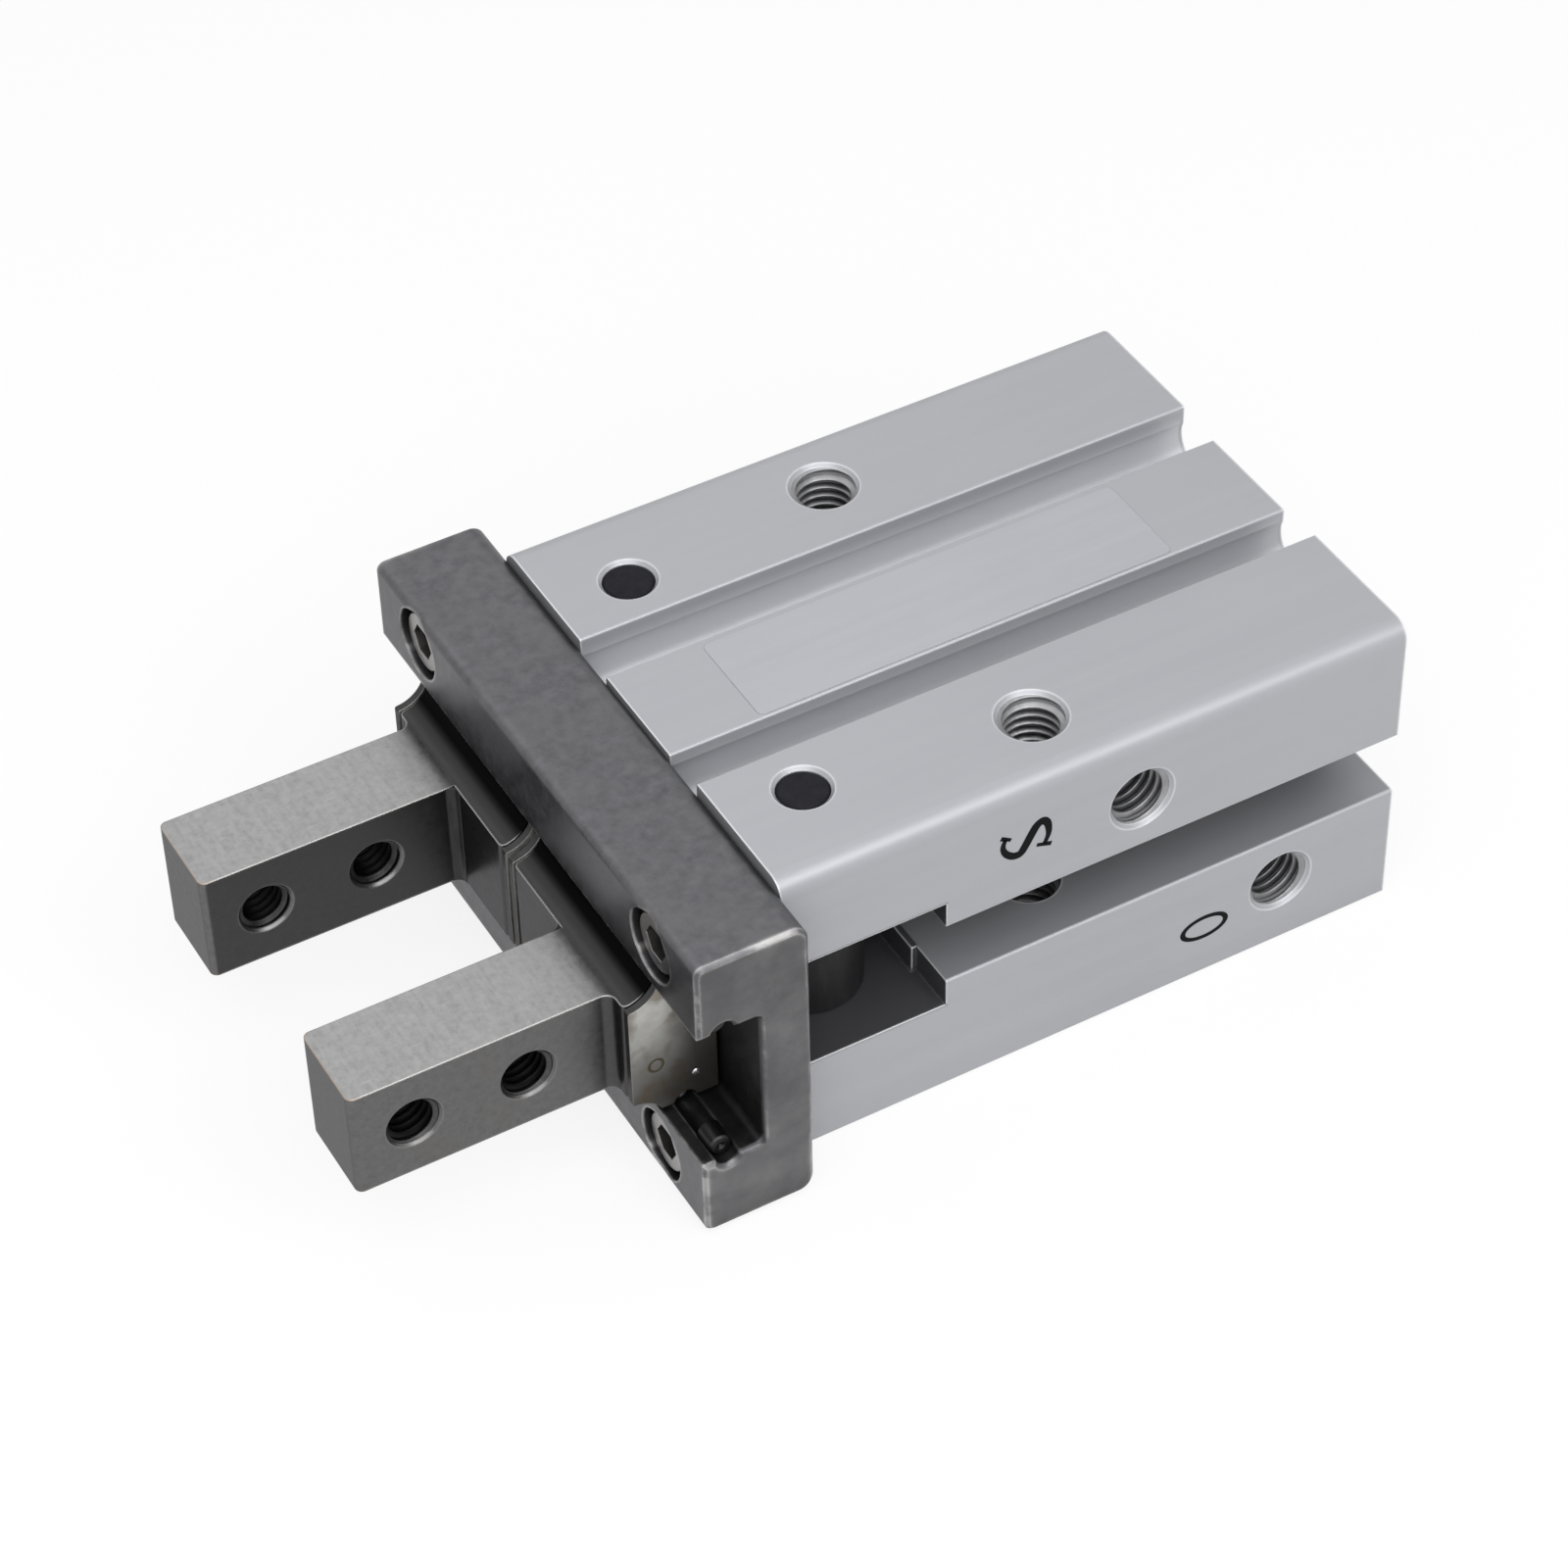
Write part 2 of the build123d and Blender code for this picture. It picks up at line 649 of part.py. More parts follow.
finger = make_finger()
end_plates = make_end_plates()
lever = make_lever()
nodes = {
    "body": make_body(),
    "guide_rail": make_guide_rail(),
    "guide_screws": make_guide_screws(),
    "parallel_pins": make_parallel_pins(),
    "roller_stoppers": make_roller_stoppers(),
    "steel_balls_near": make_steel_balls(1),
    "steel_balls_far": make_steel_balls(-1),
    "finger_near": finger,
    "finger_far": mirrored(finger),
    "end_plates_near": end_plates,
    "end_plates_far": [mirrored(plate) for plate in end_plates],
    "lever_near": lever,
    "lever_far": mirrored(lever),
    "lever_shaft_near": make_lever_shaft(1),
    "lever_shaft_far": make_lever_shaft(-1),
    "needle_rollers_near": make_needle_rollers(1),
    "needle_rollers_far": make_needle_rollers(-1),
    "piston": make_piston(),
    "piston_bolt": make_piston_bolt(),
    "piston_seal": make_piston_seal(),
    "magnet_ring": make_magnet_ring(),
    "rod_seal": make_rod_seal(),
    "rod_damper": make_rod_damper(),
    "head_damper": make_head_damper(),
    "end_cap": make_end_cap(),
    "cap_gasket": make_cap_gasket(),
    "retaining_clip": make_retaining_clip(),
}

os.makedirs("parts", exist_ok=True)
for name, shape in nodes.items():
    if isinstance(shape, list):
        shape = Compound(children=shape)
    export_step(shape, f"parts/{name}.step")

print(f"lever swing {math.degrees(2 * lever_angle):.4f} deg")
print(f"piston stroke {2 * lever_inner_arm * math.sin(lever_angle):.4f} mm")
print(f"lever ratio {2 * lever_angle / (finger_stroke / 1000):.5f} rad per m")
print(f"piston ratio {2 * lever_inner_arm * math.sin(lever_angle) / finger_stroke:.5f}")
print(f"tip {tip_x:.3f} jaw {jaw_inner_y:.3f} {jaw_outer_y:.3f}")
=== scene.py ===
import json
import math
import bmesh
import bpy
from mathutils import Matrix, Vector


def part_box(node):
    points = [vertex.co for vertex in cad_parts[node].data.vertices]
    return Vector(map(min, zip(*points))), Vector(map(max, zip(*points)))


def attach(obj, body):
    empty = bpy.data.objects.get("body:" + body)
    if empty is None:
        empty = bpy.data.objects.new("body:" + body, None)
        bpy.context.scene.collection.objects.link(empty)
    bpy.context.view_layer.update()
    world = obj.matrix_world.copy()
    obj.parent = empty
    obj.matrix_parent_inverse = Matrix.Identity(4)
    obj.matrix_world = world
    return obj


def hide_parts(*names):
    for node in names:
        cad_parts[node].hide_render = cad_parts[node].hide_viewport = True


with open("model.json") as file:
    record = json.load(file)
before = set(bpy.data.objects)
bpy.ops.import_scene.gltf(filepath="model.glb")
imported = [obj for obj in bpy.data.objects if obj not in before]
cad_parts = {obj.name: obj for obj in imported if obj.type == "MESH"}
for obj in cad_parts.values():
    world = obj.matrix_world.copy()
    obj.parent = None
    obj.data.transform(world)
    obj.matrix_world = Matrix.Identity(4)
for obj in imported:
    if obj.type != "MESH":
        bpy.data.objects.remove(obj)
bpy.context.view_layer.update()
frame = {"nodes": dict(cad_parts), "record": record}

# Pneumatic parallel gripper: looks, small visible pieces, and a studio stage.
# Lengths are in millimetres, and MM turns them into the scene's metres. Only the scale
# of a noise counts cells per metre. +X runs to the fingertips, +Y to the side with the
# two ports, and +Z is up.
MM = 0.001

# Places on the part
BODY_SIDE = 21.0
BODY_BOTTOM = -13.8
STRIP_TOP = 13.3
GROOVE_SIDE = 9.1
GROOVE_FLOOR = 9.1
FLANGE_HOLE_X = 28.8
HOLE_Y = 15.0
REAR_HOLE_Z = 8.0
PORT_CLOSE = (22.9, 7.5)
PORT_OPEN = (9.9, -7.5)
POCKET_START = 39.4
POCKET_HALF = 5.2
SLOT_HALF = 2.8
CHANNEL_BACK = 57.0
CHANNEL_HALF = 6.5
RAIL_FRONT = 62.0
RAIL_END = 25.0
RACEWAY_X = 59.95
RACEWAY_Z = 6.35
BLOCK_FACE = 64.2
PLATE_FACE = 18.6
JAW_TIP = 84.8
JAW_INNER = 8.55
JAW_HALF = 4.75
JAW_HOLES = (("tip", 80.0), ("root", 71.0))
JAW_HOLE_RADIUS = 2.0
BALL_RADIUS = 0.9
BALLS_PER_ROW = 8
STOPPER_RADIUS = 0.9
SIDES = ((1, "near"), (-1, "far"))

# Threads: outer radius, inner radius and pitch, and where their mouths lie
M5 = (2.5, 2.09, 0.8)
M4 = (2.0, 1.66, 0.7)
FLANGE_MOUTH_Z = 13.5
REAR_MOUTH_X = 0.3
PORT_MOUTH_Y = 20.7
JAW_MOUTH_Y = 15.8


class Nodes:
    """One procedural material under construction, with masks in the part's own places."""

    def __init__(self, name):
        self.material = bpy.data.materials.new(name)
        self.material.use_nodes = True
        self.tree = self.material.node_tree
        self.shader = self.tree.nodes["Principled BSDF"]
        self.place = self.add("ShaderNodeTexCoord").outputs["Object"]

    def add(self, kind, **values):
        node = self.tree.nodes.new(kind)
        for key, value in values.items():
            setattr(node, key, value)
        return node

    def link(self, source, target):
        self.tree.links.new(source, target)

    def put(self, value, socket):
        """Set a colour or number on a socket, or link an output to it."""
        if isinstance(value, tuple):
            socket.default_value = (*value, 1.0)
        elif isinstance(value, float):
            socket.default_value = value
        else:
            self.link(value, socket)

    def noise(self, scale, detail=3.0, rough=0.55, stretch=(1, 1, 1)):
        """Noise with scale cells per metre, stretched along the object's axes."""
        mapping = self.add("ShaderNodeMapping")
        mapping.inputs["Scale"].default_value = stretch
        self.link(self.place, mapping.inputs["Vector"])
        node = self.add("ShaderNodeTexNoise")
        node.inputs["Scale"].default_value = scale
        node.inputs["Detail"].default_value = detail
        node.inputs["Roughness"].default_value = rough
        self.link(mapping.outputs["Vector"], node.inputs["Vector"])
        return node.outputs["Fac"]

    def ramp(self, fac, low, high, start=0.0, end=1.0):
        """Map low..high to start..end, held at both ends."""
        node = self.add("ShaderNodeMapRange")
        node.inputs["From Min"].default_value = low
        node.inputs["From Max"].default_value = high
        node.inputs["To Min"].default_value = start
        node.inputs["To Max"].default_value = end
        self.link(fac, node.inputs["Value"])
        return node.outputs["Result"]

    def without(self, fac, left=0.0):
        """The reverse of a mask: 1 where it is 0, and left where it is 1."""
        return self.ramp(fac, 0.0, 1.0, 1.0, left)

    def mix(self, fac, first, second):
        """Colour between first at 0 and second at 1."""
        node = self.add("ShaderNodeMix", data_type="RGBA")
        self.put(fac, node.inputs[0])
        self.put(first, node.inputs[6])
        self.put(second, node.inputs[7])
        return node.outputs[2]

    def times(self, first, *others):
        """Product of masks and numbers."""
        for other in others:
            node = self.add("ShaderNodeMath", operation="MULTIPLY")
            self.put(first, node.inputs[0])
            self.put(other, node.inputs[1])
            first = node.outputs[0]
        return first

    def axis_size(self, vector, axis):
        """Absolute value of one part of a vector."""
        parts = self.add("ShaderNodeSeparateXYZ")
        self.link(vector, parts.inputs["Vector"])
        size = self.add("ShaderNodeMath", operation="ABSOLUTE")
        self.link(parts.outputs[axis], size.inputs[0])
        return size.outputs[0]

    def edges(self, radius):
        """1 near an outer sharp edge and 0 on a flat face or in an inner corner."""
        bevel = self.add("ShaderNodeBevel", samples=6)
        bevel.inputs["Radius"].default_value = radius * MM
        geometry = self.add("ShaderNodeNewGeometry")
        dot = self.add("ShaderNodeVectorMath", operation="DOT_PRODUCT")
        self.link(bevel.outputs["Normal"], dot.inputs[0])
        self.link(geometry.outputs["Normal"], dot.inputs[1])
        sharp = self.ramp(dot.outputs["Value"], 0.995, 0.86)
        return self.times(sharp, self.without(self.cavity(0.5, 0.60, 0.85)))

    def cavity(self, distance, low=0.35, high=0.95):
        """1 deep in a hollow and 0 on an open face."""
        node = self.add("ShaderNodeAmbientOcclusion", samples=8)
        node.inputs["Distance"].default_value = distance * MM
        return self.ramp(node.outputs["AO"], low, high, 1.0, 0.0)

    def facing(self, axis, low=0.90, high=0.99):
        """1 on faces square to an axis of the object and 0 elsewhere."""
        geometry = self.add("ShaderNodeNewGeometry")
        turned = self.add("ShaderNodeVectorTransform", vector_type="NORMAL",
                          convert_from="WORLD", convert_to="OBJECT")
        self.link(geometry.outputs["Normal"], turned.inputs["Vector"])
        return self.ramp(self.axis_size(turned.outputs["Vector"], axis), low, high)

    def along(self, axis, low, high):
        """0 to 1 between two places along an axis of the object."""
        parts = self.add("ShaderNodeSeparateXYZ")
        self.link(self.place, parts.inputs["Vector"])
        return self.ramp(parts.outputs[axis], low * MM, high * MM)

    def between(self, axis, half, fade=0.1):
        """1 within a distance of the object's middle along an axis and 0 beyond."""
        size = self.axis_size(self.place, axis)
        return self.ramp(size, half * MM, (half + fade) * MM, 1.0, 0.0)

    def in_hole(self, x, z, radius):
        """1 within a radius of an axis that runs along the object's Y."""
        offset = self.add("ShaderNodeVectorMath", operation="SUBTRACT")
        offset.inputs[1].default_value = (x * MM, 0.0, z * MM)
        self.link(self.place, offset.inputs[0])
        flat = self.add("ShaderNodeVectorMath", operation="MULTIPLY")
        flat.inputs[1].default_value = (1.0, 0.0, 1.0)
        self.link(offset.outputs["Vector"], flat.inputs[0])
        length = self.add("ShaderNodeVectorMath", operation="LENGTH")
        self.link(flat.outputs["Vector"], length.inputs[0])
        return self.ramp(length.outputs["Value"], radius * MM, (radius + 0.01) * MM, 1.0, 0.0)

    def finish(self, color, roughness, metallic, bumps, bevel):
        """Feed the shader. bumps holds (height, depth) pairs over edges rounded by bevel."""
        self.put(color, self.shader.inputs["Base Color"])
        self.put(roughness, self.shader.inputs["Roughness"])
        self.put(metallic, self.shader.inputs["Metallic"])
        node = self.add("ShaderNodeBevel", samples=6)
        node.inputs["Radius"].default_value = bevel * MM
        for height, depth in bumps:
            bump = self.add("ShaderNodeBump")
            bump.inputs["Distance"].default_value = depth * MM
            bump.inputs["Strength"].default_value = 1.0
            self.link(height, bump.inputs["Height"])
            self.link(node.outputs["Normal"], bump.inputs["Normal"])
            node = bump
        self.link(node.outputs["Normal"], self.shader.inputs["Normal"])
        return self.material


# Materials of the main pieces
STEEL_TINT = (0.60, 0.60, 0.61, 1.0)


def anodised():
    """Satin clear anodised extrusion, with painted shade in hollows, the slots and the lever
    pocket, painted light in the top grooves and painted highlights on the edges.
    """
    n = Nodes("anodised")
    streak = n.noise(700.0, 3.0, 0.6, (0.03, 1.0, 1.0))
    cloud = n.noise(50.0, 2.0, 0.5)
    grain = n.noise(9000.0, 1.0, 0.5)
    base = n.mix(n.ramp(streak, 0.3, 0.7), (0.330, 0.333, 0.354), (0.346, 0.349, 0.370))
    base = n.mix(n.ramp(cloud, 0.35, 0.65, 0.0, 0.4), base, (0.352, 0.355, 0.376))
    # Painted shade: darker in every hollow.
    base = n.mix(n.times(n.cavity(4.0), 0.10), base, (0.12, 0.122, 0.130))
    # Painted shade in the side slots and, darker still, in the lever pocket.
    slot = n.times(n.along("X", POCKET_START + 0.2, POCKET_START),
                   n.between("Z", SLOT_HALF - 0.05), n.between("Y", BODY_SIDE - 0.3))
    base = n.mix(n.times(slot, 0.80), base, (0.085, 0.087, 0.094))
    pocket = n.times(n.along("X", POCKET_START - 0.05, POCKET_START + 0.05),
                     n.between("Z", POCKET_HALF + 0.1))
    base = n.mix(n.times(pocket, 0.95), base, (0.046, 0.046, 0.052))
    # Painted light: the floors of the top grooves are paler, more on the far side, fading out
    # towards the lips.
    painted_groove_light = n.times(n.between("Y", GROOVE_SIDE), n.along("X", 0.2, 0.4),
                     n.along("Z", GROOVE_FLOOR - 0.2, GROOVE_FLOOR),
                     n.along("Z", STRIP_TOP - 0.2, STRIP_TOP - 1.4),
                     n.ramp(n.along("Y", 4.0, -4.0), 0.0, 1.0, 0.35, 0.80))
    base = n.mix(painted_groove_light, base, (0.50, 0.505, 0.53))
    # Painted highlight along sharp outer edges.
    base = n.mix(n.times(n.edges(0.28), 0.90), base, (0.82, 0.83, 0.85))
    rough = n.ramp(grain, 0.3, 0.7, 0.36, 0.44)
    return n.finish(base, rough, 0.30, [(grain, 0.003), (streak, 0.002)], 0.12)


def rail_steel():
    """Dark matt hardened rail: painted light on the end faces, painted shade on the faces
    square to X, in hollows and in the channel, and edges and corners bared by use with painted
    highlights.
    """
    n = Nodes("rail_steel")
    mottle = n.noise(900.0, 4.0, 0.65)
    cloud = n.noise(220.0, 4.0, 0.60)
    grain = n.noise(7000.0, 2.0, 0.6)
    base = n.mix(n.ramp(mottle, 0.3, 0.7), (0.072, 0.072, 0.079), (0.124, 0.124, 0.134))
    base = n.mix(n.ramp(cloud, 0.35, 0.7, 0.0, 0.5), base, (0.118, 0.116, 0.122))
    # Painted shade on the faces square to X and painted light on the end faces.
    base = n.mix(n.times(n.facing("X"), 0.35), base, (0.055, 0.055, 0.060))
    painted_lit_end = n.mix(n.ramp(cloud, 0.35, 0.65), (0.105, 0.104, 0.106), (0.185, 0.184, 0.186))
    base = n.mix(n.times(n.facing("Y"), 0.65), base, painted_lit_end)
    # Painted shade: darker in every hollow.
    base = n.mix(n.times(n.cavity(5.0, 0.20, 0.80), 0.85), base, (0.018, 0.018, 0.020))

    # Painted shade inside the channel and along both raceways.
    channel_shade = (0.014, 0.014, 0.015)
    channel = n.times(n.along("X", CHANNEL_BACK - 0.15, CHANNEL_BACK - 0.05),
                      n.between("Z", CHANNEL_HALF + 0.05))
    base = n.mix(n.times(channel, 0.75), base, channel_shade)
    for level in (1, -1):
        raceway = n.in_hole(RACEWAY_X, RACEWAY_Z * level, BALL_RADIUS + 0.08)
        base = n.mix(n.times(raceway, 0.75), base, channel_shade)

    # Edges bared by use, with painted highlights, kept faint on the channel's inner edges.
    inside = n.times(n.between("Z", CHANNEL_HALF + 1.0),
                     n.along("X", RAIL_FRONT - 2.0, RAIL_FRONT - 3.0))
    open_edge = n.without(inside, 0.15)
    wear_and_highlight = n.times(n.edges(0.40), open_edge, n.ramp(mottle, 0.35, 0.6, 0.45, 1.0))
    base = n.mix(wear_and_highlight, base, (0.46, 0.45, 0.44))
    # Pale patches on the end faces' chamfers, partly bared by use and partly painted glints,
    # kept out of the channel's mouth.
    mouth = n.times(n.between("Z", CHANNEL_HALF + 1.1),
                    n.along("X", CHANNEL_BACK - 0.3, CHANNEL_BACK - 0.1))
    patchy = n.times(n.without(mouth), n.ramp(cloud, 0.44, 0.60, 0.05, 0.75))
    for axis in ("X", "Z"):
        chamfer = n.times(n.facing(axis, 0.60, 0.68), n.facing("Y", 0.60, 0.68))
        base = n.mix(n.times(chamfer, patchy), base, (0.36, 0.355, 0.35))
    # Broad pale patches on the outer edges near the rail's ends, partly bared by use and partly
    # painted highlight.
    end = n.without(n.between("Y", RAIL_END - 0.9))
    rubbed_and_highlit = n.times(n.edges(0.75), end, open_edge, n.ramp(cloud, 0.46, 0.60, 0.0, 0.7))
    base = n.mix(rubbed_and_highlit, base, (0.60, 0.59, 0.58))
    rough = n.ramp(mottle, 0.3, 0.7, 0.34, 0.46)
    return n.finish(base, rough, 0.85, [(grain, 0.006), (mottle, 0.007), (cloud, 0.005)], 0.45)


def ground_steel():
    """Fingers: ground tops, paler as a finish and as painted light; sides darker as a finish
    and as painted shade; painted shade at the roots, on the arcs, in hollows and holes, and a
    painted black gap beside the rail.
    """
    n = Nodes("ground_steel")
    lay = n.noise(2600.0, 3.0, 0.6, (1.0, 0.12, 0.5))
    mottle = n.noise(1500.0, 5.0, 0.7)
    cloud = n.noise(200.0, 2.0, 0.5)
    scratch = n.noise(1200.0, 2.0, 0.5, (0.35, 1.6, 1.0))

    side = n.mix(n.ramp(mottle, 0.32, 0.68), (0.118, 0.117, 0.117), (0.156, 0.155, 0.155))
    side = n.mix(n.ramp(cloud, 0.55, 0.85, 0.0, 0.4), side, (0.145, 0.130, 0.115))
    # Painted shade on the inner faces between the fingers, on the sides near the block and on
    # the faces square to X.
    inner_face_shade = n.times(n.facing("Y"), n.between("Y", JAW_INNER + 1.45))
    side = n.mix(n.times(inner_face_shade, 0.75), side, (0.030, 0.030, 0.032))
    root_shade = n.along("X", BLOCK_FACE + 2.0, BLOCK_FACE + 0.3)
    side = n.mix(n.times(root_shade, 0.55), side, (0.030, 0.030, 0.031))
    side = n.mix(n.times(n.facing("X"), 0.25), side, (0.040, 0.040, 0.043))

    # Ground tops: paler as a finish and painted lighter as lit faces.
    ground = n.mix(n.ramp(mottle, 0.34, 0.66), (0.200, 0.200, 0.200), (0.280, 0.280, 0.280))
    ground = n.mix(n.ramp(lay, 0.35, 0.7, 0.0, 0.35), ground, (0.34, 0.34, 0.34))
    ground = n.mix(n.ramp(scratch, 0.68, 0.80, 0.0, 0.45), ground, (0.38, 0.38, 0.38))
    top = n.times(n.facing("Z", 0.86, 0.99), n.along("X", BLOCK_FACE - 0.8, BLOCK_FACE + 1.0))
    base = n.mix(top, side, ground)

    # Painted shade and dark reflection on the concave arcs by the block, near black towards the
    # rail, and painted shade in every hollow.
    arc_shade = n.times(n.facing("Z", 0.35, 0.60), n.along("X", BLOCK_FACE + 0.8, BLOCK_FACE - 0.2))
    base = n.mix(n.times(arc_shade, 0.70), base, (0.022, 0.022, 0.023))
    arc_end_shade = n.times(arc_shade, n.along("X", BLOCK_FACE - 0.4, RAIL_FRONT))
    base = n.mix(n.times(arc_end_shade, 0.80), base, (0.006, 0.006, 0.006))
    base = n.mix(n.times(n.cavity(4.0), 0.55), base, (0.016, 0.016, 0.016))

    # Edges bared by use, brown near the tip, with painted highlights, fading out on the block
    # towards the rail.
    near_tip = n.along("X", JAW_TIP - 1.3, JAW_TIP - 0.2)
    wear_and_highlight = n.mix(near_tip, (0.46, 0.45, 0.44), (0.34, 0.24, 0.17))
    worn_and_highlit = n.times(n.edges(0.26), n.along("X", RAIL_FRONT - 0.8, BLOCK_FACE + 0.8))
    # Painted shade on the walls of the tapped holes, and only faint edge marks round their
    # mouths.
    for _, x in JAW_HOLES:
        wall = n.in_hole(x, 0.0, JAW_HOLE_RADIUS + 0.04)
        base = n.mix(n.times(wall, 0.85), base, (0.018, 0.018, 0.018))
        worn_and_highlit = n.times(worn_and_highlit, n.without(n.in_hole(x, 0.0, JAW_HOLE_RADIUS + 0.7), 0.35))
    base = n.mix(n.times(worn_and_highlit, 0.90), base, wear_and_highlight)
    # Painted highlight on fine sharp edges.
    base = n.mix(n.times(n.edges(0.12), 0.25), base, (0.24, 0.24, 0.24))
    n.shader.inputs["Specular Tint"].default_value = STEEL_TINT

    # Painted shade: a black gap on the block beside the rail, fully metallic there.
    gap_shade = n.times(n.without(n.between("Z", JAW_HALF + 0.25)),
                          n.along("X", RAIL_FRONT + 1.0, RAIL_FRONT + 0.4))
    base = n.mix(gap_shade, base, (0.003, 0.003, 0.003))
    rough = n.ramp(mottle, 0.3, 0.7, 0.26, 0.38)
    metal = n.ramp(gap_shade, 0.0, 1.0, 0.92, 1.0)
    return n.finish(base, rough, metal, [(lay, 0.003), (mottle, 0.004)], 0.18)


def plate_steel():
    """Thin end plates: stained face, paler at the top and darker towards the bottom, with
    painted shade inside the rail's channel and on the plates' edge faces, and painted
    highlights on the sharp edges.
    """
    n = Nodes("plate_steel")
    cloud = n.noise(330.0, 3.0, 0.55)
    stain = n.noise(420.0, 2.0, 0.5)
    grain = n.noise(3000.0, 3.0, 0.6)
    face = n.mix(n.along("Z", 4.0, -4.5), (0.540, 0.536, 0.510), (0.120, 0.116, 0.106))
    face = n.mix(n.ramp(cloud, 0.35, 0.65, 0.0, 0.6), face, (0.190, 0.187, 0.174))
    face = n.mix(n.ramp(stain, 0.52, 0.66, 0.0, 0.6), face, (0.150, 0.110, 0.070))
    # Painted shade where the plate lies inside the rail's channel.
    plate_channel_shade = n.along("X", RAIL_FRONT - 0.4, RAIL_FRONT - 3.0)
    face = n.mix(n.times(plate_channel_shade, 0.85), face, (0.050, 0.048, 0.044))
    # Painted shade on the plates' edge faces and painted highlight on their sharp edges.
    base = n.mix(n.facing("Y"), (0.045, 0.045, 0.045), face)
    base = n.mix(n.times(n.edges(0.12), 0.40), base, (0.24, 0.235, 0.23))
    rough = n.ramp(grain, 0.3, 0.7, 0.34, 0.46)
    n.shader.inputs["Specular Tint"].default_value = STEEL_TINT
    return n.finish(base, rough, 0.75, [(grain, 0.001)], 0.12)


def label_foil():
    """Thin blank foil, a little paler than the body."""
    n = Nodes("label_foil")
    streak = n.noise(900.0, 3.0, 0.6, (0.05, 1.0, 1.0))
    cloud = n.noise(120.0, 2.0, 0.5)
    base = n.mix(n.ramp(streak, 0.3, 0.7), (0.350, 0.352, 0.378), (0.374, 0.376, 0.402))
    base = n.mix(n.ramp(cloud, 0.35, 0.65, 0.0, 0.4), base, (0.385, 0.387, 0.413))
    base = n.mix(n.times(n.edges(0.12), 0.5), base, (0.22, 0.22, 0.24))
    rough = n.ramp(cloud, 0.3, 0.7, 0.40, 0.46)
    return n.finish(base, rough, 0.22, [(streak, 0.001)], 0.05)


def finger_thread_steel():
    """Threads through a jaw: bright at both mouths and painted dark inside as shade."""
    n = Nodes("cut_steel")
    grain = n.noise(1800.0, 3.0, 0.6)
    base = n.mix(n.ramp(grain, 0.3, 0.7), (0.062, 0.062, 0.063), (0.088, 0.088, 0.089))
    # Painted shade deep inside the hole, away from both mouths.
    inside = n.times(n.between("Y", JAW_MOUTH_Y - 0.7, 0.5),
                     n.without(n.between("Y", JAW_INNER + 0.55, 0.5)))
    base = n.mix(n.times(inside, 0.98), base, (0.008, 0.008, 0.008))
    rough = n.ramp(grain, 0.3, 0.7, 0.38, 0.48)
    return n.finish(base, rough, 1.0, [(grain, 0.002)], 0.12)


def machined(name, dark, light, rough, metallic=0.95, hollow=0.0):
    """Turned or polished metal with fine streaks, a little variation and painted shade in
    hollows.
    """
    n = Nodes(name)
    streak = n.noise(1800.0, 3.0, 0.6, (1.0, 0.25, 0.25))
    cloud = n.noise(250.0, 2.0, 0.5)
    base = n.mix(n.ramp(streak, 0.3, 0.7), dark, light)
    base = n.mix(n.ramp(cloud, 0.4, 0.7, 0.0, 0.3), base, dark)
    # Painted shade in hollows, by the share given in hollow.
    if hollow:
        base = n.mix(n.times(n.cavity(1.5, 0.45, 0.80), hollow), base, (0.010, 0.010, 0.011))
    return n.finish(base, n.ramp(cloud, 0.3, 0.7, *rough), metallic, [(streak, 0.002)], 0.12)


def plain(name, dark, light, rough, specular=0.5):
    """Rubber, bonded magnet, oxide or ink: matt with a fine grain."""
    n = Nodes(name)
    n.shader.inputs["Specular IOR Level"].default_value = specular
    grain = n.noise(1500.0, 3.0, 0.6)
    cloud = n.noise(200.0, 2.0, 0.5)
    base = n.mix(n.ramp(grain, 0.3, 0.7), dark, light)
    return n.finish(base, n.ramp(cloud, 0.3, 0.7, *rough), 0.0, [(grain, 0.006)], 0.10)


materials = {
    "anodised_body": anodised(),
    "rail_steel": rail_steel(),
    "ground_steel": ground_steel(),
    "plate_steel": plate_steel(),
    "polished_steel": machined(
        "polished_steel", (0.50, 0.50, 0.51), (0.70, 0.70, 0.71), (0.08, 0.16)),
    "stopper_steel": machined(
        "stopper_steel", (0.022, 0.022, 0.023), (0.048, 0.048, 0.049), (0.30, 0.42)),
    # The screws get painted shade in their sockets and counterbores.
    "screw_steel": machined(
        "screw_steel", (0.20, 0.195, 0.19), (0.31, 0.30, 0.29), (0.24, 0.36), hollow=0.95),
    "lever_steel": machined(
        "lever_steel", (0.010, 0.010, 0.011), (0.022, 0.022, 0.024), (0.45, 0.58), 0.4),
    "dark_shaft": plain(
        "dark_shaft", (0.005, 0.005, 0.008), (0.010, 0.010, 0.014), (0.62, 0.74), 0.15),
    "piston_alloy": machined(
        "piston_alloy", (0.52, 0.52, 0.54), (0.66, 0.66, 0.68), (0.25, 0.35)),
    "seal_rubber": plain(
        "seal_rubber", (0.012, 0.012, 0.013), (0.028, 0.028, 0.030), (0.50, 0.65)),
    "damper_rubber": plain(
        "damper_rubber", (0.10, 0.05, 0.025), (0.15, 0.08, 0.04), (0.45, 0.60)),
    "magnet": plain(
        "magnet", (0.035, 0.035, 0.04), (0.07, 0.07, 0.075), (0.45, 0.60)),
    "cap_alloy": machined(
        "cap_alloy", (0.44, 0.44, 0.46), (0.51, 0.51, 0.53), (0.35, 0.38), 0.85),
    "clip_steel": machined(
        "clip_steel", (0.08, 0.08, 0.085), (0.16, 0.16, 0.165), (0.38, 0.50)),
}
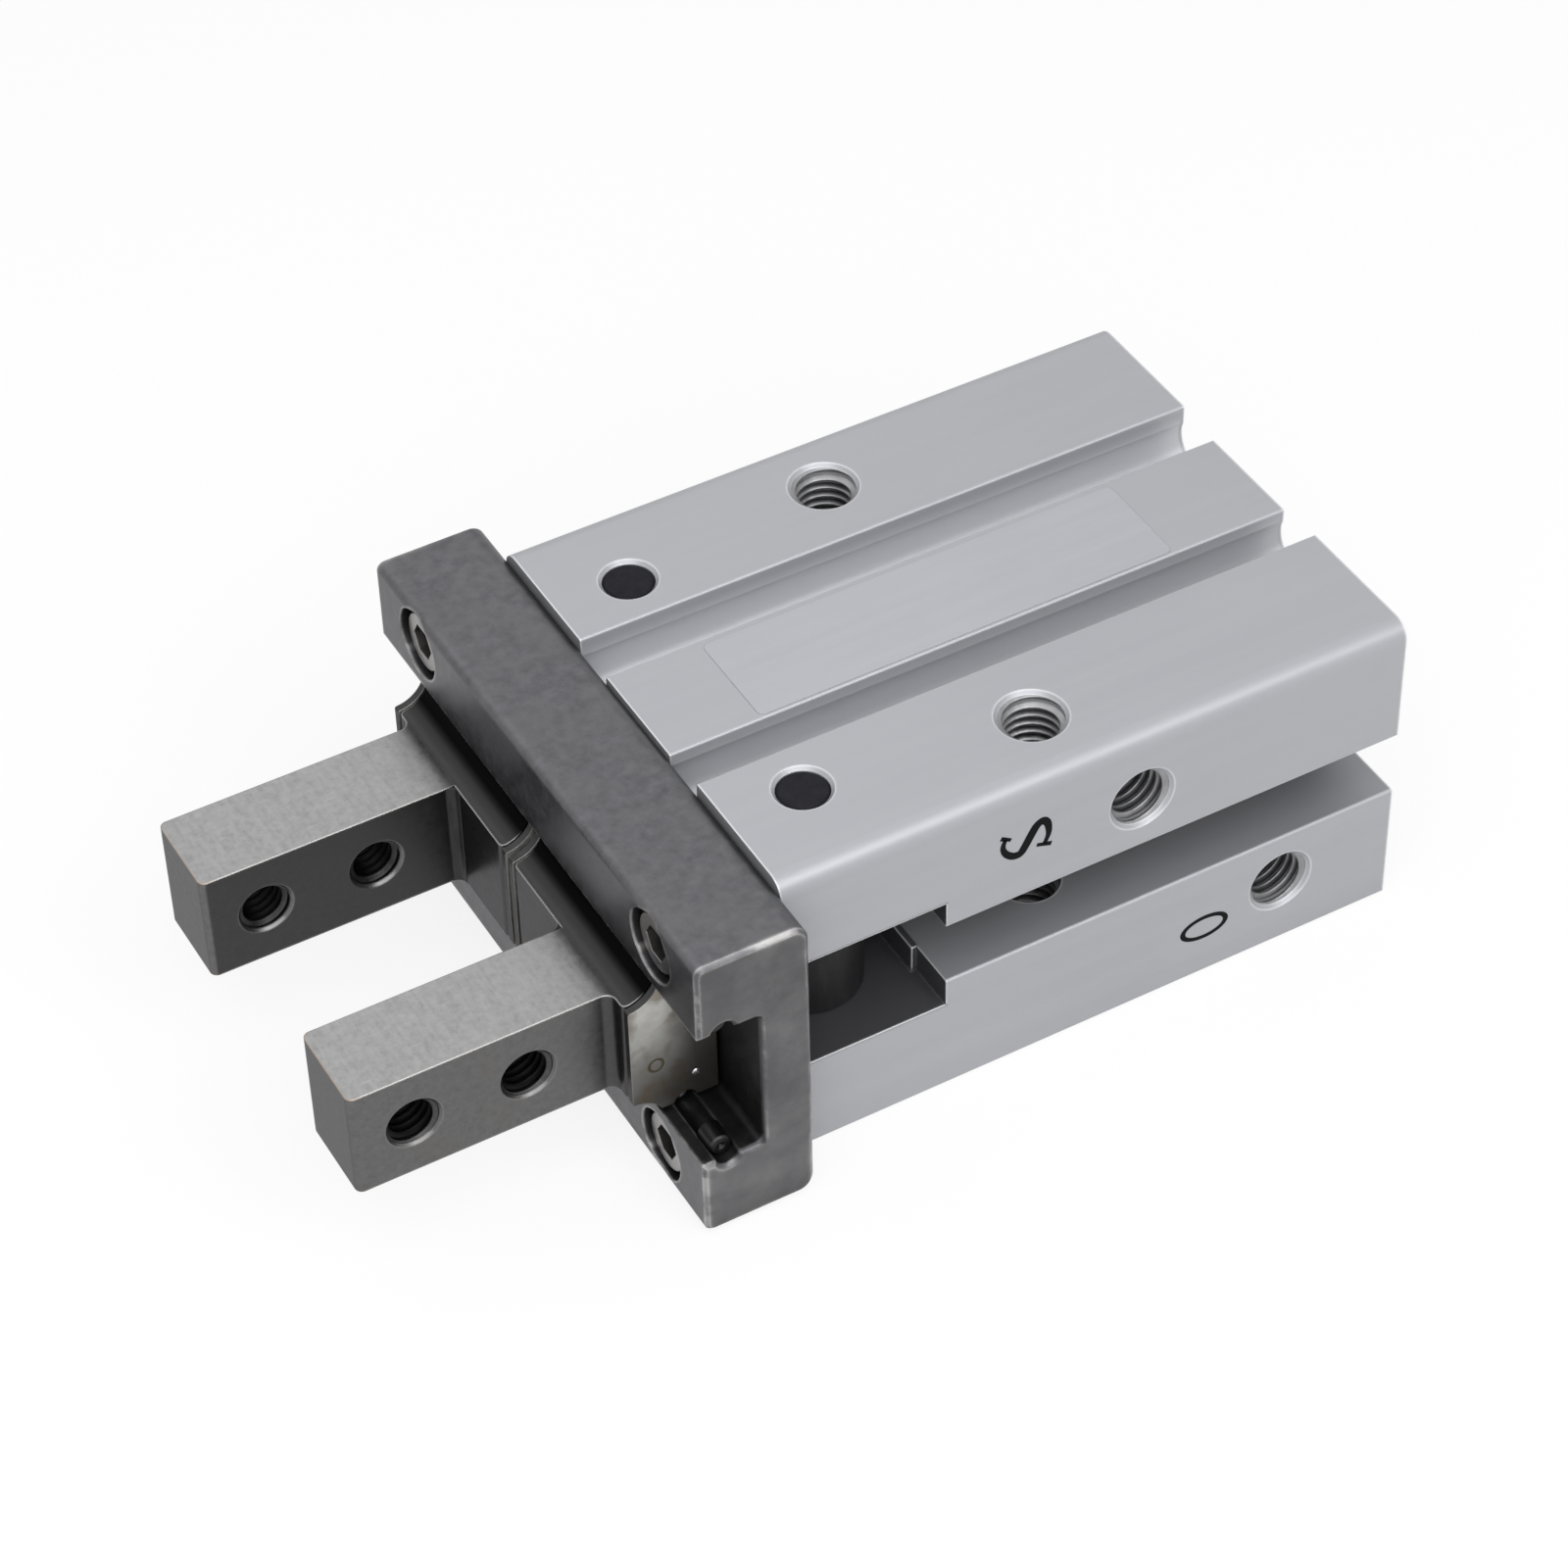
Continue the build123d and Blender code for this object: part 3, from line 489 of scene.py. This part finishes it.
slot_of = {row["node"]: row["material_slot"] for row in frame["record"]["subparts"]}
for name, obj in frame["nodes"].items():
    material = materials[slot_of[name]]
    if obj.material_slots:
        for material_slot in obj.material_slots:
            material_slot.material = material
    else:
        obj.data.materials.append(material)

# Materials of the small pieces
# The port and mounting threads get painted shade in their hollows.
thread_alloy = machined(
    "cut_alloy", (0.24, 0.24, 0.25), (0.36, 0.36, 0.37), (0.26, 0.36), 0.85, hollow=0.6)
thread_steel = finger_thread_steel()
ink = plain("ink", (0.0015, 0.0015, 0.002), (0.004, 0.004, 0.005), (0.60, 0.70), 0.10)
foil = label_foil()
ring_stain = plain("ring_stain", (0.030, 0.023, 0.010), (0.060, 0.046, 0.021), (0.40, 0.55))
# Painted shade: the jaws' inner root fillets are dark as shade in the corner.
root_steel = machined(
    "root_steel", (0.030, 0.030, 0.031), (0.048, 0.048, 0.049), (0.30, 0.40))
bright_dot = machined("bright_dot", (0.45, 0.45, 0.46), (0.62, 0.62, 0.63), (0.10, 0.18))


def add_object(mesh, material, body, smooth):
    """Put a finished mesh in the scene as a visible piece of a body."""
    obj = bpy.data.objects.new(mesh.name, mesh)
    bpy.context.scene.collection.objects.link(obj)
    mesh.materials.append(material)
    for polygon in mesh.polygons:
        polygon.use_smooth = smooth
    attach(obj, body)
    return obj


def make_mesh(name, verts, faces, material, body, smooth=False):
    """A piece from vertices in millimetres."""
    mesh = bpy.data.meshes.new(name)
    mesh.from_pydata([tuple(Vector(v) * MM) for v in verts], [], faces)
    mesh.update()
    return add_object(mesh, material, body, smooth)


def thread(name, mouth, direction, size, length, material, body):
    """Internal V thread: a helical ridge that starts and ends in a hole's wall.

    direction points into the hole. Each step has four points across the ridge, placed in
    shares of the pitch, with the outer two just behind the wall's surface.
    """
    major, minor, pitch = size
    steps = 40
    half_turn = steps / 2
    root = major + 0.03
    count = int(length / pitch * steps)
    turn = Vector(direction).to_track_quat("Z", "Y").to_matrix()
    verts = []
    faces = []
    for i in range(count + 1):
        angle = -2 * math.pi * i / steps
        rise = min(1.0, i / half_turn, (count - i) / half_turn)
        crest = major - (major - minor) * rise
        for radius, offset in ((root, -0.40), (crest, -0.10), (crest, 0.10), (root, 0.40)):
            depth = min(max(pitch * (i / steps + offset), 0.0), length)
            point = Vector((radius * math.cos(angle), radius * math.sin(angle), depth))
            verts.append(Vector(mouth) + turn @ point)
        if i:
            a = (i - 1) * 4
            for k in range(3):
                faces.append((a + k, a + 4 + k, a + 5 + k, a + 1 + k))
    make_mesh(name, verts, faces, material, body)


for side, tag in SIDES:
    for level, word in ((1, "top"), (-1, "bottom")):
        thread(f"thread_{word}_{tag}", (FLANGE_HOLE_X, HOLE_Y * side, FLANGE_MOUTH_Z * level),
               (0, 0, -level), M5, 10.5, thread_alloy, "base")
    for level, word in ((1, "upper"), (-1, "lower")):
        thread(f"thread_rear_{word}_{tag}",
               (REAR_MOUTH_X, HOLE_Y * side, REAR_HOLE_Z * level), (1, 0, 0), M5, 5.4,
               thread_alloy, "base")
    for word, x in JAW_HOLES:
        thread(f"thread_finger_{word}_{tag}", (x, JAW_MOUTH_Y * side, 0), (0, -side, 0),
               M4, 7.0, thread_steel, f"finger_{tag}")
for word, (x, z) in (("close", PORT_CLOSE), ("open", PORT_OPEN)):
    thread(f"thread_port_{word}", (x, PORT_MOUTH_Y, z), (0, -1, 0), M5, 4.4,
           thread_alloy, "base")

# Port marks, end plate marks, label, round balls and stoppers, and jaw fillets
MARK_THICKNESS = 0.015


def flat_stroke(name, points, widths):
    """A stroke of ink along points (x, z) on the near side of the body."""
    verts = []
    faces = []
    last = len(points) - 1
    for i, point in enumerate(points):
        before = Vector(points[max(0, i - 1)])
        after = Vector(points[min(last, i + 1)])
        run = (after - before).normalized()
        across = Vector((-run.y, run.x))
        for sign in (1, -1):
            place = Vector(point) + across * sign * widths[i] / 2
            for level in (BODY_SIDE, BODY_SIDE + MARK_THICKNESS):
                verts.append((place.x, level, place.y))
    for i in range(last):
        a, b = 4 * i, 4 * i + 4
        faces.append((a + 1, b + 1, b + 3, a + 3))
        faces.append((a, a + 2, b + 2, b))
        faces.append((a, b, b + 1, a + 1))
        faces.append((a + 2, a + 3, b + 3, b + 2))
    end = 4 * last
    faces.append((0, 1, 3, 2))
    faces.append((end, end + 2, end + 3, end + 1))
    make_mesh(name, verts, faces, ink, "base")


def smooth_curve(points, steps=8):
    """Points of a smooth curve through the given ones."""
    out = []
    last = len(points) - 1
    for i in range(last):
        p0 = Vector(points[max(0, i - 1)])
        p1 = Vector(points[i])
        p2 = Vector(points[i + 1])
        p3 = Vector(points[min(last, i + 2)])
        for k in range(steps):
            t = k / steps
            out.append(0.5 * (2 * p1 + (p2 - p0) * t
                              + (2 * p0 - 5 * p1 + 4 * p2 - p3) * t * t
                              + (3 * p1 - p0 - 3 * p2 + p3) * t * t * t))
    out.append(Vector(points[-1]))
    return out


def ring_mark(name, centre, radii, width, y, material, body, side=1):
    """A flat elliptical ring on the face at y, with radii along x and z.

    Its line is a little narrower along z, and side says which way the face looks.
    """
    steps = 56
    verts = []
    faces = []
    for i in range(steps):
        angle = 2 * math.pi * i / steps
        for shrink in (0.0, width):
            x = centre[0] + (radii[0] - shrink) * math.cos(angle)
            z = centre[1] + (radii[1] - shrink * 0.8) * math.sin(angle)
            verts.append((x, side * y, z))
            verts.append((x, side * (y + MARK_THICKNESS), z))
    for i in range(steps):
        a, b = 4 * i, 4 * ((i + 1) % steps)
        faces.append((a + 1, a + 3, b + 3, b + 1))
        faces.append((a, b, b + 2, a + 2))
        faces.append((a, a + 1, b + 1, b))
        faces.append((a + 2, b + 2, b + 3, a + 3))
    make_mesh(name, verts, faces, material, body)


def label_plate():
    """Blank thin label on the middle strip, with rounded corners and a bevelled rim."""
    x0, x1, y0, y1 = 9.8, 45.4, -4.3, 4.6
    thick, corner, inset = 0.06, 0.6, 0.05
    outline = []
    for cx, cy, start in ((x1 - corner, y1 - corner, 0), (x0 + corner, y1 - corner, 90),
                          (x0 + corner, y0 + corner, 180), (x1 - corner, y0 + corner, 270)):
        for k in range(7):
            angle = math.radians(start + 15 * k)
            outline.append(Vector((cx + corner * math.cos(angle),
                                   cy + corner * math.sin(angle))))
    count = len(outline)
    middle = Vector(((x0 + x1) / 2, (y0 + y1) / 2))
    verts = []
    for shrink, rise in ((0.0, 0.0), (0.0, thick * 0.6), (inset, thick)):
        for point in outline:
            moved = point + (middle - point).normalized() * shrink
            verts.append((moved.x, moved.y, STRIP_TOP + rise))
    faces = [tuple(reversed(range(count))), tuple(2 * count + k for k in range(count))]
    for a in (0, count):
        b = a + count
        for k in range(count):
            j = (k + 1) % count
            faces.append((a + k, a + j, b + j, b + k))
    make_mesh("label_plate_blank", verts, faces, foil, "base")


def dome(name, centre, radius, height, side, material, body):
    """A low round dome on the face at centre's y, facing away from the middle."""
    rings, steps = 5, 24
    verts = [(centre[0], side * (centre[1] + height), centre[2])]
    for k in range(1, rings + 1):
        tilt = math.pi / 2 * k / rings
        for i in range(steps):
            angle = 2 * math.pi * i / steps * side
            verts.append((centre[0] + radius * math.sin(tilt) * math.cos(angle),
                          side * (centre[1] + height * math.cos(tilt)),
                          centre[2] - radius * math.sin(tilt) * math.sin(angle)))
    faces = [(0, 1 + i, 1 + (i + 1) % steps) for i in range(steps)]
    for k in range(rings - 1):
        a, b = 1 + k * steps, 1 + (k + 1) * steps
        for i in range(steps):
            j = (i + 1) % steps
            faces.append((a + i, b + i, b + j, a + j))
    make_mesh(name, verts, faces, material, body, smooth=True)


def round_balls(tag, side):
    """Round bearing balls in both raceways of one finger, where its CAD balls are."""
    cad_balls = f"steel_balls_{tag}"
    low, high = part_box(cad_balls)
    ends = sorted((abs(low[1]) / MM, abs(high[1]) / MM))
    first, last = ends[0] + BALL_RADIUS, ends[1] - BALL_RADIUS
    mesh = bmesh.new()
    for index in range(BALLS_PER_ROW):
        y = side * (first + (last - first) * index / (BALLS_PER_ROW - 1))
        for level in (1, -1):
            place = Matrix.Translation((RACEWAY_X * MM, y * MM, RACEWAY_Z * level * MM))
            bmesh.ops.create_uvsphere(mesh, u_segments=24, v_segments=14,
                                      radius=BALL_RADIUS * MM, matrix=place)
    data = bpy.data.meshes.new(f"round_balls_{tag}")
    mesh.to_mesh(data)
    mesh.free()
    obj = add_object(data, materials["polished_steel"], f"balls_{tag}", True)
    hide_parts(cad_balls)


def root_fillet(tag, side):
    """Concave fillet where the jaw's inner face meets the block's front face."""
    radius, overlap, steps = 0.8, 0.05, 8
    outline = [(BLOCK_FACE - overlap, JAW_INNER + overlap)]
    for k in range(steps + 1):
        angle = math.pi / 2 * k / steps
        outline.append((BLOCK_FACE + radius - radius * math.sin(angle),
                        JAW_INNER - radius + radius * math.cos(angle)))
    verts = [(x, side * y, z) for z in (-JAW_HALF, JAW_HALF) for x, y in outline]
    count = len(outline)
    faces = []
    for k in range(count):
        j = (k + 1) % count
        faces.append((k, j, count + j, count + k) if side > 0 else (k, count + k, count + j, j))
    lower, upper = tuple(range(count)), tuple(range(count, 2 * count))
    faces += [lower[::-1], upper] if side > 0 else [lower, upper[::-1]]
    make_mesh(f"root_fillet_{tag}", verts, faces, root_steel, f"finger_{tag}")


def round_stoppers():
    """Turned stoppers with a chamfered, dished end that keep the balls in."""
    cad_stoppers = "roller_stoppers"
    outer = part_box(cad_stoppers)[1][1] / MM
    length, rim, chamfer = 2.0, 0.75, 0.15
    dish_radius, dish_depth = 0.35, 0.25
    profile = ((length, 0.0), (length, rim), (length - chamfer, STOPPER_RADIUS),
               (chamfer, STOPPER_RADIUS), (0.0, rim), (0.0, dish_radius), (dish_depth, 0.0))
    steps = 40
    verts = []
    faces = []
    for side in (1, -1):
        for level in (1, -1):
            start = len(verts)
            for inset, radius in profile:
                for i in range(steps):
                    angle = 2 * math.pi * i / steps * side
                    verts.append((RACEWAY_X + radius * math.cos(angle), side * (outer - inset),
                                  RACEWAY_Z * level - radius * math.sin(angle)))
            for k in range(len(profile) - 1):
                a, b = start + k * steps, start + (k + 1) * steps
                for i in range(steps):
                    j = (i + 1) % steps
                    faces.append((a + i, a + j, b + j, b + i))
    obj = make_mesh("round_stoppers", verts, faces, materials["stopper_steel"], "base")
    mesh = bmesh.new()
    mesh.from_mesh(obj.data)
    bmesh.ops.remove_doubles(mesh, verts=mesh.verts, dist=0.0001 * MM)
    bmesh.ops.recalc_face_normals(mesh, faces=mesh.faces)
    mesh.to_mesh(obj.data)
    mesh.free()
    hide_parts(cad_stoppers)


curve = smooth_curve([
    (34.6, 9.2), (34.82, 8.5), (34.6, 7.8), (34.0, 7.25), (33.35, 7.2), (32.9, 7.8),
    (32.45, 8.6), (32.0, 9.3), (31.5, 9.55), (31.1, 9.2), (30.95, 8.5), (31.0, 7.9),
    (31.3, 7.2)])
curve_widths = [0.34 + 0.42 * math.sin(math.pi * i / (len(curve) - 1))
                for i in range(len(curve))]
flat_stroke("mark_close_curve", curve, curve_widths)
flat_stroke("mark_close_serif_upper", [(35.0, 9.45), (34.15, 8.95)], [0.4, 0.3])
flat_stroke("mark_close_serif_lower", [(31.95, 7.35), (30.7, 6.95)], [0.3, 0.4])
label_plate()
ring_mark("mark_open", (16.75, -8.9), (2.15, 1.2), 0.46, BODY_SIDE, ink,
          "base")
for side, tag in SIDES:
    body = f"finger_{tag}"
    ring_mark(f"plate_ring_{tag}", (62.2, -1.5), (0.68, 0.68), 0.24, PLATE_FACE, ring_stain,
              body, side)
    dome(f"plate_dot_{tag}", (59.0, PLATE_FACE, -3.9), 0.34, 0.10, side, bright_dot,
         body)
    round_balls(tag, side)
    root_fillet(tag, side)
round_stoppers()


# Stage: pale floor, even studio light and the photograph's camera
def seen_rays(tree):
    """1 for camera, glossy and transmission rays."""
    path = tree.nodes.new("ShaderNodeLightPath")
    seen = path.outputs["Is Camera Ray"]
    for kind in ("Is Glossy Ray", "Is Transmission Ray"):
        either = tree.nodes.new("ShaderNodeMath")
        either.operation = "MAXIMUM"
        tree.links.new(seen, either.inputs[0])
        tree.links.new(path.outputs[kind], either.inputs[1])
        seen = either.outputs[0]
    return seen


def stage_floor():
    """A floor that keeps the part's shadow and looks nearly white."""
    half_size = 3000.0 * MM
    z = (BODY_BOTTOM - 0.02) * MM
    mesh = bpy.data.meshes.new("floor")
    mesh.from_pydata([(-half_size, -half_size, z), (half_size, -half_size, z),
                      (half_size, half_size, z), (-half_size, half_size, z)], [],
                     [(0, 1, 2, 3)])
    floor = bpy.data.objects.new("floor", mesh)
    bpy.context.scene.collection.objects.link(floor)
    material = bpy.data.materials.new("floor")
    material.use_nodes = True
    tree = material.node_tree
    tree.nodes.clear()
    out = tree.nodes.new("ShaderNodeOutputMaterial")
    diffuse = tree.nodes.new("ShaderNodeBsdfDiffuse")
    diffuse.inputs["Color"].default_value = (0.86, 0.86, 0.86, 1)
    glow = tree.nodes.new("ShaderNodeEmission")
    glow.inputs["Strength"].default_value = 1.0
    share = tree.nodes.new("ShaderNodeMath")
    share.operation = "MULTIPLY"
    share.inputs[1].default_value = 0.85
    tree.links.new(seen_rays(tree), share.inputs[0])
    mix = tree.nodes.new("ShaderNodeMixShader")
    tree.links.new(share.outputs[0], mix.inputs[0])
    tree.links.new(diffuse.outputs[0], mix.inputs[1])
    tree.links.new(glow.outputs[0], mix.inputs[2])
    tree.links.new(mix.outputs[0], out.inputs["Surface"])
    mesh.materials.append(material)


def world_light(level):
    """White surroundings that light the part at a lower level."""
    world = bpy.data.worlds.new("studio")
    bpy.context.scene.world = world
    world.use_nodes = True
    tree = world.node_tree
    back = tree.nodes["Background"]
    back.inputs["Color"].default_value = (1, 1, 1, 1)
    strength = tree.nodes.new("ShaderNodeMapRange")
    strength.inputs["To Min"].default_value = level
    strength.inputs["To Max"].default_value = 1.0
    tree.links.new(seen_rays(tree), strength.inputs["Value"])
    tree.links.new(strength.outputs["Result"], back.inputs["Strength"])


def lamp(name, place, target, width, height, power):
    """A rectangular area lamp, with places and sizes in millimetres and power in watts."""
    data = bpy.data.lights.new(name, "AREA")
    data.shape = "RECTANGLE"
    data.size = width * MM
    data.size_y = height * MM
    data.energy = power
    obj = bpy.data.objects.new(name, data)
    bpy.context.scene.collection.objects.link(obj)
    obj.location = Vector(place) * MM
    aim = Vector(target) - Vector(place)
    obj.rotation_euler = aim.to_track_quat("-Z", "Y").to_euler()


def photo_camera():
    """The camera that took the photograph, from the fitted corners of the object."""
    image_size = 1600
    focal_pixels = 4700.74
    optical_centre = (803.65, 746.62)
    place = Vector((160.836, 220.145, 239.639))
    forward = Vector((-0.35048, -0.64204, -0.68187))
    up = Vector((-0.34943, -0.58584, 0.73123))

    data = bpy.data.cameras.new("camera")
    camera = bpy.data.objects.new("camera", data)
    bpy.context.scene.collection.objects.link(camera)
    bpy.context.scene.camera = camera
    right = forward.cross(up).normalized()
    up = right.cross(forward).normalized()
    turn = Matrix((right, up, -forward.normalized())).transposed()
    camera.matrix_world = Matrix.Translation(place * MM) @ turn.to_4x4()
    data.sensor_fit = "AUTO"
    data.sensor_width = 36.0
    data.lens = focal_pixels / image_size * data.sensor_width
    data.shift_x = (image_size / 2 - optical_centre[0]) / image_size
    data.shift_y = (optical_centre[1] - image_size / 2) / image_size
    data.clip_start = 10.0 * MM
    data.clip_end = 20000.0 * MM


stage_floor()
world_light(0.37)
part_middle = (42.0, 0.0, 0.0)
lamp("key", (140.0, 260.0, 340.0), (50.0, 0.0, 0.0), 500.0, 500.0, 2.1)
lamp("fill", (150.0, -350.0, 700.0), part_middle, 1000.0, 800.0, 1.6)
lamp("rim", (-160.0, 420.0, 400.0), part_middle, 280.0, 280.0, 0.6)
photo_camera()
bpy.context.scene.view_settings.view_transform = "Standard"
